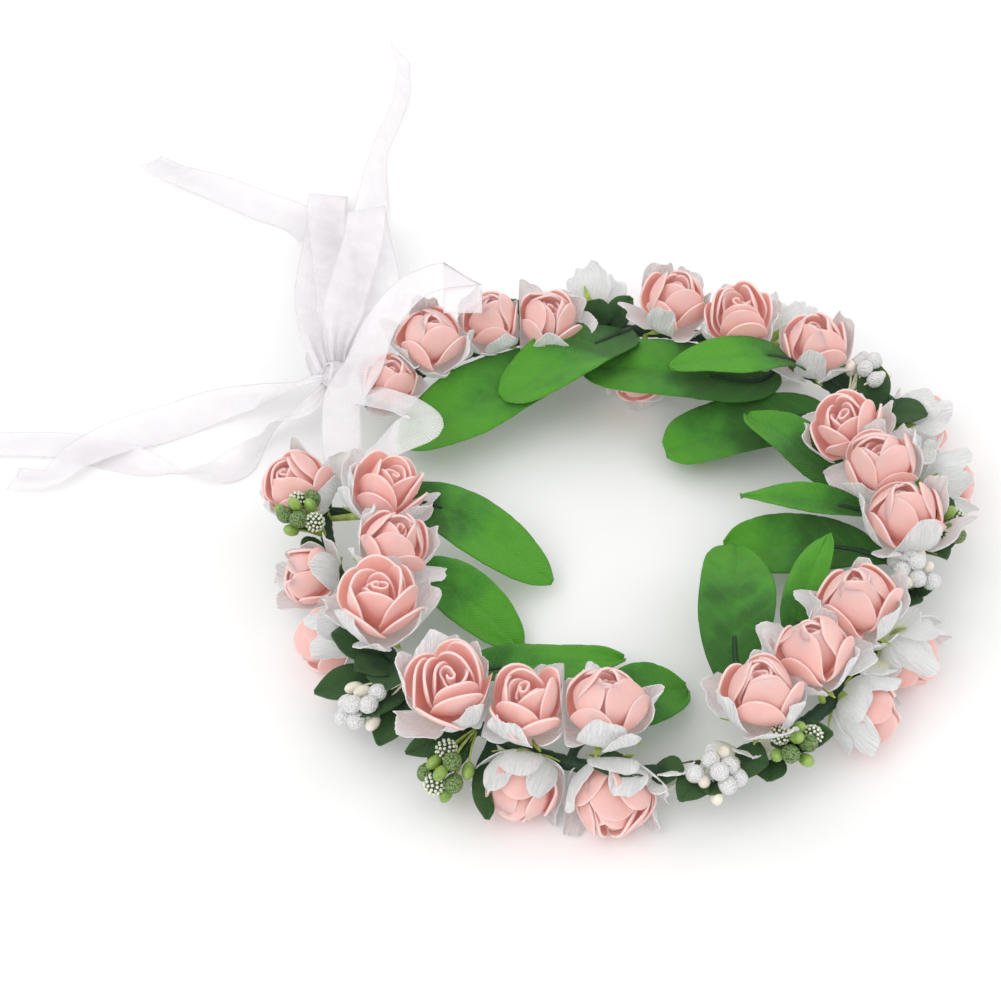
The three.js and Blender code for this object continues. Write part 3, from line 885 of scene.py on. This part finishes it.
def add_leaf(build, path, width, seed, thickness, fold, wave, rows, columns,
             dark_reach=USUAL_DARK_BASE, pointed=USUAL_POINT):
    """A leaf blade along path with a midrib, side veins, a wavy edge and fine frayed teeth.

    The rim value marks the veins. The shade value rises from 0 where the dark print of the
    base ends, dark_reach along the leaf.
    """
    drawn = random.Random(seed)
    curve = smooth_curve(path, rows)
    along = tangents(curve)
    level = np.array([unit(np.cross(UP, t)) for t in along])
    lift = np.cross(along, level)
    lift *= np.sign(lift[:, 2:3] + 1e-9)
    length = path_length(curve)
    roll = drawn.uniform(-0.15, 0.15)
    s = np.linspace(0, 1, rows)
    belly = np.sin(np.pi * np.clip((s - 0.08) / 0.94, 0, 1) ** 1.18) ** pointed
    teeth = np.array([drawn.uniform(0.975, 1.0) for _ in range(rows)])
    half = np.maximum(0.9, width / 2 * belly * teeth)
    half[-2:] *= (0.8, 0.45)
    s, half = s[:, None], half[:, None]
    u = np.linspace(-1, 1, columns)[None, :]
    grid = curve[:, None, :] + level[:, None, :] * (u * np.cos(roll))[..., None] * half[..., None]
    veins = np.abs(((s * 8 - np.abs(u) * 1.3) % 1.0) - 0.5) * 2
    vein = np.clip(1 - veins * 3.2, 0, 1) * np.clip(half / 6, 0, 1)
    midrib = 0.35 * np.exp(-(u * 9) ** 2)
    height = (fold * np.abs(u) * half
              + u * roll * half * 0.6
              + wave * np.abs(u) ** 2 * wrinkle(u * 0.5, s, seed, 9.0)
              + 0.5 * wrinkle(u, s * 2, seed + 1, 3.0)
              - 0.28 * vein - midrib)
    smooth = clear_of_roses(grid, 0.95)
    for _ in range(8):
        smooth[1:-1] = (smooth[:-2] + 2 * smooth[1:-1] + smooth[2:]) / 4
    grid = smooth + lift[:, None, :] * height[..., None]
    grid[..., 2] = np.maximum(grid[..., 2], CLEAR_OF_TABLE)
    normal = grid_normals(grid)
    printed = s - dark_reach - 0.10 * (1 - np.abs(u))
    values = pairs(np.maximum(vein, np.exp(-(u * 16) ** 2)), printed)
    close_sheet(build, grid, normal * thickness / 2, pairs(u * half, s * length), values)
    return grid


def make_big_leaf(name, midrib, width):
    build = Build()
    seed = LEAF_SEEDS + int(name.split("_")[1])
    grid = add_leaf(build, midrib, width, seed, **BIG_LEAF,
                    dark_reach=DARK_BASES.get(name, USUAL_DARK_BASE),
                    pointed=POINTS.get(name, USUAL_POINT))
    piece = build.make(name + "_blade", big_leaf, "leaf")
    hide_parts(name)
    make_leaf_stem(name, grid[:, grid.shape[1] // 2])


def make_leaf_stem(name, midrib):
    """The wired stem: out of the tape, then glued along the first part of the blade."""
    first_row, end_row, rows_apart, raised = 4, 26, 3, 0.55
    build = Build()
    out_of_tape = on_hoop_near(midrib[0])
    glued = midrib[first_row:end_row:rows_apart] + raised * UP
    route = smooth_curve(np.vstack([out_of_tape, (out_of_tape + glued[0]) / 2, glued]), 24)
    add_tube(build, route, np.linspace(*LEAF_STEM_RADII, len(route)), 8)
    build.make(name + "_stem", tape, "leaf")


for leaf_name, (leaf_midrib, leaf_width) in LEAVES.items():
    make_big_leaf(leaf_name, leaf_midrib, leaf_width)


# ---------------------------------------------------------------- berries and small leaves
def add_ball(build, centre, radii, axis, rows=9, around=12, rough=0.0, seed=0):
    """A round or oval ball, with a grain raised on it if rough."""
    side, over = frame_about(unit(axis), 0.0)
    drawn = random.Random(seed)
    points = [centre - unit(axis) * radii[1]]
    for row in range(1, rows):
        polar = math.pi * row / rows
        for i in range(around):
            turn = math.tau * i / around
            grain = 1 + rough * drawn.uniform(-1, 1)
            points.append(centre - unit(axis) * radii[1] * math.cos(polar) * grain
                          + (side * math.cos(turn) + over * math.sin(turn))
                          * radii[0] * math.sin(polar) * grain)
    points.append(centre + unit(axis) * radii[1])
    faces = [[0, 1 + (i + 1) % around, 1 + i] for i in range(around)]
    faces += [[k + 1 for k in face] for face in ring_faces(rows - 1, around)]
    last = len(points) - 1
    faces += [[last, last - around + i, last - around + (i + 1) % around] for i in range(around)]
    build.add(np.array(points), faces)


def bunch_places(centre, outward, count, drawn):
    """One berry in the middle, and the others round it in two rings."""
    side, over = frame_about(outward, drawn.uniform(0, 6))
    places = []
    for k in range(count):
        middle = k == count - 1
        angle = math.tau * k / (count - 1) + drawn.uniform(-0.2, 0.2)
        r = 0.0 if middle else BUNCH_SPREAD * (1.25 if k % 2 else 0.85)
        raised = 4.0 if middle else drawn.uniform(-2.0, 0.5) + (0.0 if k % 2 else 1.8)
        places.append(centre + side * r * math.cos(angle) + over * r * math.sin(angle)
                      + outward * raised)
    return places


def make_bunch(label, node, degrees, outside, height, kind, seed):
    """Sugared balls, pips and, in a green bunch, two beaded balls, each on its wire."""
    drawn = random.Random(seed)
    centre = beside_hoop(degrees, outside, height)
    root = beside_hoop(degrees, 0, HOOP_HEIGHT)
    outward = unit(unit(centre - root) + UP)
    sugar, cores, beads, pips, wires = Build(), Build(), Build(), Build(), Build()
    for k, spot in enumerate(bunch_places(centre, outward, len(BUNCHES[kind]), drawn)):
        stalk = unit(spot - root)
        berry = BUNCHES[kind][k]
        if berry == "sugared":
            add_ball(sugar, spot, BALL_RADII, stalk, 14, 20, 0.035, seed + k)
        elif berry == "beaded":
            add_ball(cores, spot, CORE_RADII, stalk, 9, 12)
            add_beads(beads, spot, stalk)
        else:
            add_ball(pips, spot, PIP_RADII, stalk, 10, 14)
        bent = (spot + root) / 2 + outward * 1.5
        add_tube(wires, smooth_curve([root, bent, spot], 8), BERRY_WIRE_RADIUS, 6)
    if kind == "white":
        pieces = [(sugar, "sugared", white_sugar), (pips, "pips", cream_pearl),
                  (wires, "wires", paper)]
    else:
        pieces = [(sugar, "sugared", green_sugar), (pips, "pips", green_pip),
                  (wires, "wires", calyx_green), (beads, "beads", bead_white),
                  (cores, "cores", dark_berry)]
    made = [build.make(f"{label}_{part}", material, "berry") for build, part, material in pieces]
    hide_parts(node)


def add_beads(build, centre, axis):
    """Small beads set over a berry's core in a spiral of even steps."""
    side, over = frame_about(axis, 0.0)
    radius, half_length = (size + 0.15 for size in CORE_RADII)
    golden = math.pi * (3 - math.sqrt(5))
    for k in range(BEADS_ON_A_BERRY):
        z = 1 - 2 * (k + 0.5) / BEADS_ON_A_BERRY
        r = math.sqrt(1 - z * z)
        turn = golden * k
        spot = (centre + axis * half_length * z
                + (side * math.cos(turn) + over * math.sin(turn)) * radius * r)
        add_ball(build, spot, (BEAD_RADIUS, BEAD_RADIUS), axis, 5, 8)


def make_fan(label, degrees, outside, height, seed, material, slot):
    """Three small leaves or white petals that fan out from one place on the hoop."""
    drawn = random.Random(seed)
    build = Build()
    for k in range(3):
        root = beside_hoop(degrees + drawn.uniform(-3, 3), 0, HOOP_HEIGHT - 1)
        tip = beside_hoop(degrees + (k - 1) * 7 + drawn.uniform(-2, 2),
                          outside + drawn.uniform(1, 6), height + drawn.uniform(-9, 0))
        tip[2] = max(tip[2], 2.0)
        middle = (root + tip) / 2 + np.array([0, 0, drawn.uniform(0, 2)])
        add_leaf(build, [root, middle, tip], drawn.uniform(10, 14), seed + k, **SMALL_LEAF,
                 pointed=USUAL_POINT if slot == "leaf" else PETAL_POINT)
    build.make(label, material, slot)


for spray_name, bunches in SPRAYS.items():
    for bunch_index, (at, out_by, tall, colour_kind) in enumerate(bunches):
        bunch_seed = BERRY_SEEDS + int(spray_name[-1]) * 10 + bunch_index
        bunch_label = f"{spray_name}_{colour_kind}"
        make_bunch(bunch_label, spray_name, at, out_by, tall, colour_kind, bunch_seed)
        make_fan(f"{bunch_label}_leaves", at, out_by, tall, bunch_seed + 40, small_leaf, "leaf")

for trim, places, trim_seed, trim_material, trim_slot in (
        ("olive_leaves", LONE_LEAVES, BERRY_SEEDS + 90, small_leaf, "leaf"),
        ("loose_petals", LOOSE_PETALS, BERRY_SEEDS + 110, paper, "paper_petal")):
    for trim_index, (at, out_by, tall) in enumerate(places):
        make_fan(f"{trim}_{trim_index + 1}", at, out_by, tall, trim_seed + trim_index,
                 trim_material, trim_slot)


# ---------------------------------------------------------------- hoop
def make_hoop():
    """Floral tape wound in a spiral round the wire, each turn overlapping the last."""
    build = Build()
    steps, around = 900, 14
    turns = 150
    rings = []
    for k in range(steps):
        share = k / (steps - 1)
        degrees = HOOP_START + HOOP_SWEEP * share
        point = beside_hoop(degrees, 0, HOOP_HEIGHT)
        ahead = unit(beside_hoop(degrees + 0.5, 0, HOOP_HEIGHT) - point)
        side = unit(np.cross(UP, ahead))
        ring = []
        for i in range(around):
            angle = math.tau * i / around
            step_in_turn = (share * turns - i / around) % 1.0
            r = TAPE_RADIUS - 0.30 + 0.38 * step_in_turn ** 0.7
            ring.append(point + r * (side * math.cos(angle) + UP * math.sin(angle)))
        rings.append(ring)
    faces = ring_faces(steps, around)
    faces.append(list(range(around)))
    faces.append([(steps - 1) * around + i for i in range(around)][::-1])
    build.add(np.array(rings).reshape(-1, 3), [face[::-1] for face in faces])
    piece = build.make("floral_tape_winding", tape, "tape")
    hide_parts("floral_tape_wrap")


def make_wire_eyes():
    """The wire where it leaves the tape and curls into an upright eye at each end."""
    build = Build()
    for end, turn in ((HOOP_START, -1), (HOOP_START + HOOP_SWEEP, 1)):
        start = beside_hoop(end, 0, HOOP_HEIGHT)
        inside = beside_hoop(end - 2 * turn, 0, HOOP_HEIGHT)
        ahead = unit(beside_hoop(end + turn, 0, HOOP_HEIGHT) - start)
        path = [inside, start]
        for step in range(1, 8):
            angle = math.radians(40 * step)
            path.append(start + ahead * EYE_RADIUS * (1 + math.sin(angle))
                        + UP * EYE_RADIUS * (1 - math.cos(angle)))
        add_tube(build, smooth_curve(path, 40), WIRE_RADIUS, 10)
    piece = build.make("wire_eyes", wire, "wire")
    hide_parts("wire_hoop")


make_hoop()
make_wire_eyes()


# ---------------------------------------------------------------- ribbon
def level_across(along):
    """Directions across a strip: level, but kept as they were where the route is steep."""
    across = [unit(np.cross(UP, along[0]))]
    for direction in along[1:]:
        level = unit(np.cross(UP, direction))
        if level @ across[-1] < 0:
            level = -level
        flatness = math.hypot(direction[0], direction[1]) ** 4
        turned = level * flatness + across[-1] * (1 - flatness)
        across.append(unit(turned - direction * (turned @ direction)))
    return np.array(across)


def slanted_to_fold(across, along, curve, reach):
    """Slants the rows of a strip that are near its fold until they lie along the crease."""
    before, after = along[FOLD_ROW - 2], along[FOLD_ROW + 2]
    crease = unit(before + after)
    slanted = across.copy()
    for row in range(len(curve)):
        away = np.linalg.norm(curve[row] - curve[FOLD_ROW])
        share = max(0.0, 1 - away / reach)
        leg = before if row <= FOLD_ROW else after
        square = across[row]
        lined_up = crease / (crease @ square)
        slant = (lined_up - square) @ leg
        slanted[row] = square + leg * slant * share
    return slanted


def lie_of_strip(path, rows, width, fold):
    """A strip's middle line, the way it runs, and the directions across it."""
    if fold is None:
        curve = smooth_curve(path, rows)
        along = tangents(curve)
        return curve, along, level_across(along)
    curve = np.vstack([smooth_curve(path[:fold + 1], FOLD_ROW + 1),
                       smooth_curve(path[fold:], rows - FOLD_ROW)[1:]])
    along = tangents(curve)
    along[FOLD_ROW] = unit(curve[FOLD_ROW] - curve[FOLD_ROW - 1])
    return curve, along, slanted_to_fold(level_across(along), along, curve, width)


def add_ribbon(build, path, width, roll_at, seed, gather, fold):
    """A strip of organza along path, and its length.

    roll_at(s) turns it about its own length, and gather(s) is the share of its width it keeps.
    """
    rows = max(40, int(path_length(path) / RIBBON_STEP))
    curve, along, level = lie_of_strip(path, rows, width, fold)
    lift = np.cross(along, level)
    if lift[0, 2] < 0:
        lift = -lift
    s = np.linspace(0, 1, rows)
    roll = np.array([roll_at(x) for x in s])
    across = level * np.cos(roll)[:, None] + lift * np.sin(roll)[:, None]
    proud = lift * np.cos(roll)[:, None] - level * np.sin(roll)[:, None]
    narrow = np.array([gather(x) for x in s])
    length = path_length(curve)
    s, narrow = s[:, None], narrow[:, None]
    u = np.linspace(-1, 1, 15)[None, :]
    ripple = wrinkle(u, s * length / 18, seed, 3.0)
    pleats = np.sin(u * 9 + seed) * (1 - narrow) * 2.2
    grid = (curve[:, None, :] + across[:, None, :] * (u * narrow * width / 2)[..., None]
            + proud[:, None, :] * (0.55 * ripple + pleats)[..., None])
    grid[..., 2] = np.maximum(grid[..., 2], CLEAR_OF_TABLE)
    close_sheet(build, grid, grid_normals(grid) * RIBBON_THICKNESS / 2,
                pairs(u * width / 2, s * length), pairs(np.abs(u), s))
    return length


def eased(x, start, end):
    """0 up to start, 1 from end on, with a smooth rise between."""
    t = min(1.0, max(0.0, (x - start) / (end - start)))
    return t * t * (3 - 2 * t)


def ungathered(_):
    return 1.0


def gathered_at_start(x):
    return 0.35 + 0.65 * min(1.0, x / 0.12)


def gathered_at_both(x):
    return 0.35 + 0.65 * min(1.0, x / 0.14, (1 - x) / 0.14)


def make_ribbon(name, roll_at, gather=gathered_at_start, body="ribbon_bow"):
    """One strip of the ribbon. The bow's strips start in the knot, and its loops end there too."""
    width, route = RIBBONS[name]
    build = Build()
    path = list(np.array(route, float))
    if body == "ribbon_bow":
        path.insert(0, path[0] * 0.4 + KNOT_CENTRE * 0.6)
    if "loop" in name:
        path.append(path[-1] * 0.4 + KNOT_CENTRE * 0.6)
    seed = sum(map(ord, name)) % 97
    length = add_ribbon(build, path, width, roll_at, seed, gather, FOLDS.get(name))
    piece = build.make(name + "_organza", organza, "ribbon", body)
    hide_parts(name)


make_ribbon("ribbon_loop_right", lambda x: 0.25 * math.sin(6 * x), gathered_at_both)
make_ribbon("ribbon_loop_left", lambda x: 0.2 * math.sin(5 * x + 1), gathered_at_both)
make_ribbon("ribbon_tail_upper", lambda x: 0.35 * math.sin(7 * x))
make_ribbon("ribbon_tail_right", lambda x: 0.3 * math.sin(8 * x + 2) + 1.1 * eased(x, 0.4, 0.75))
make_ribbon("ribbon_tail_lower", lambda x: 0.4 * math.sin(7 * x + 1))
make_ribbon("ribbon_tail_twisted", lambda x: math.tau * eased(x, 0.0, 0.75))
make_ribbon("ribbon_front_band", lambda x: 0.25 * math.sin(9 * x) * eased(x, 0.2, 0.35),
            ungathered, "crown")


def add_knot_band(build, band):
    """A pleated band of ribbon pulled round the knot."""
    turn = band * 2.1 + 0.4
    side = np.array([math.cos(turn), math.sin(turn) * 0.8, 0.35 * math.sin(turn * 2)])
    axis = unit(np.array([math.cos(turn + 1.57), 0.6 * math.sin(turn + 1.57), 0.3]))
    across = unit(np.cross(axis, side))
    ahead = np.cross(across, axis)
    loop = []
    for k in range(17):
        angle = math.tau * k / 16
        loop.append(KNOT_CENTRE + ahead * 4.6 * math.cos(angle) + across * 3.4 * math.sin(angle)
                    + axis * 0.6 * math.sin(angle * 2))
    rows = 40
    curve = smooth_curve(loop, rows)

    def place(u, v):
        index = np.clip((v + 1) / 2 * (rows - 1), 0, rows - 1)
        spot = np.stack([np.interp(index, np.arange(rows), curve[:, k]) for k in range(3)],
                        axis=-1)
        outward = spot - KNOT_CENTRE
        outward /= np.maximum(np.linalg.norm(outward, axis=-1, keepdims=True), 1e-6)
        pleat = 0.45 * np.sin(u * 10 + band) - 1.0 * np.abs(u) ** 2
        return spot + axis * (u * 3.6)[..., None] + outward * pleat[..., None]

    add_sheet(build, with_normals(place), RIBBON_THICKNESS, rows, 17, np.ones_like, (13, 26))


def make_knot():
    build = Build()
    for band in range(3):
        add_knot_band(build, band)
    piece = build.make("ribbon_knot_organza", organza, "ribbon")
    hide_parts("ribbon_knot")


make_knot()


# ---------------------------------------------------------------- floor, light and camera
def make_floor():
    n = Nodes("pale_floor")
    grain = n.noise(n.place(), 40.0)
    n.colour(n.ramp(grain, [(0.3, (0.93, 0.93, 0.93)), (0.7, (0.95, 0.95, 0.95))]))
    n.roughness(grain, 0.8, 0.9)
    mesh = bpy.data.meshes.new("floor")
    far = 30.0
    just_under = -0.0002
    mesh.from_pydata([(-far, -far, 0), (far, -far, 0), (far, far, 0), (-far, far, 0)], [],
                     [[0, 1, 2, 3]])
    mesh.materials.append(n.material)
    floor = bpy.data.objects.new("floor", mesh)
    floor.location = (0, 0, just_under)
    bpy.context.scene.collection.objects.link(floor)


def add_area_light(name, place, target, size, power, colour):
    data = bpy.data.lights.new(name, "AREA")
    data.size = size
    data.energy = power
    data.color = colour
    light = bpy.data.objects.new(name, data)
    light.location = place
    light.rotation_euler = (Vector(target) - Vector(place)).to_track_quat("-Z", "Y").to_euler()
    bpy.context.scene.collection.objects.link(light)


def make_lights():
    world = bpy.data.worlds.new("studio")
    bpy.context.scene.world = world
    world.use_nodes = True
    background = world.node_tree.nodes["Background"]
    background.inputs["Color"].default_value = (1.0, 1.0, 1.0, 1.0)
    background.inputs["Strength"].default_value = 0.93
    add_area_light("key", (-0.75, 0.35, 1.0), (0, 0, 0), 0.9, 4.6, (1.0, 0.99, 0.98))
    add_area_light("fill", (0.5, -0.9, 0.8), (0, 0, 0), 1.0, 1.8, (0.98, 0.99, 1.0))
    bpy.context.scene.view_settings.view_transform = "Standard"


def make_camera():
    data = bpy.data.cameras.new("camera")
    data.lens = 66.0
    data.sensor_width = 36.0
    camera = bpy.data.objects.new("camera", data)
    target = Vector((0.0068, 0.0441, 0.0))
    azimuth, elevation, distance = math.radians(-70), math.radians(47), 0.62
    back = Vector((math.sin(azimuth) * math.cos(elevation),
                   -math.cos(azimuth) * math.cos(elevation), math.sin(elevation)))
    camera.location = target + back * distance
    camera.rotation_euler = (-back).to_track_quat("-Z", "Y").to_euler()
    bpy.context.scene.collection.objects.link(camera)
    bpy.context.scene.camera = camera


make_floor()
make_lights()
make_camera()
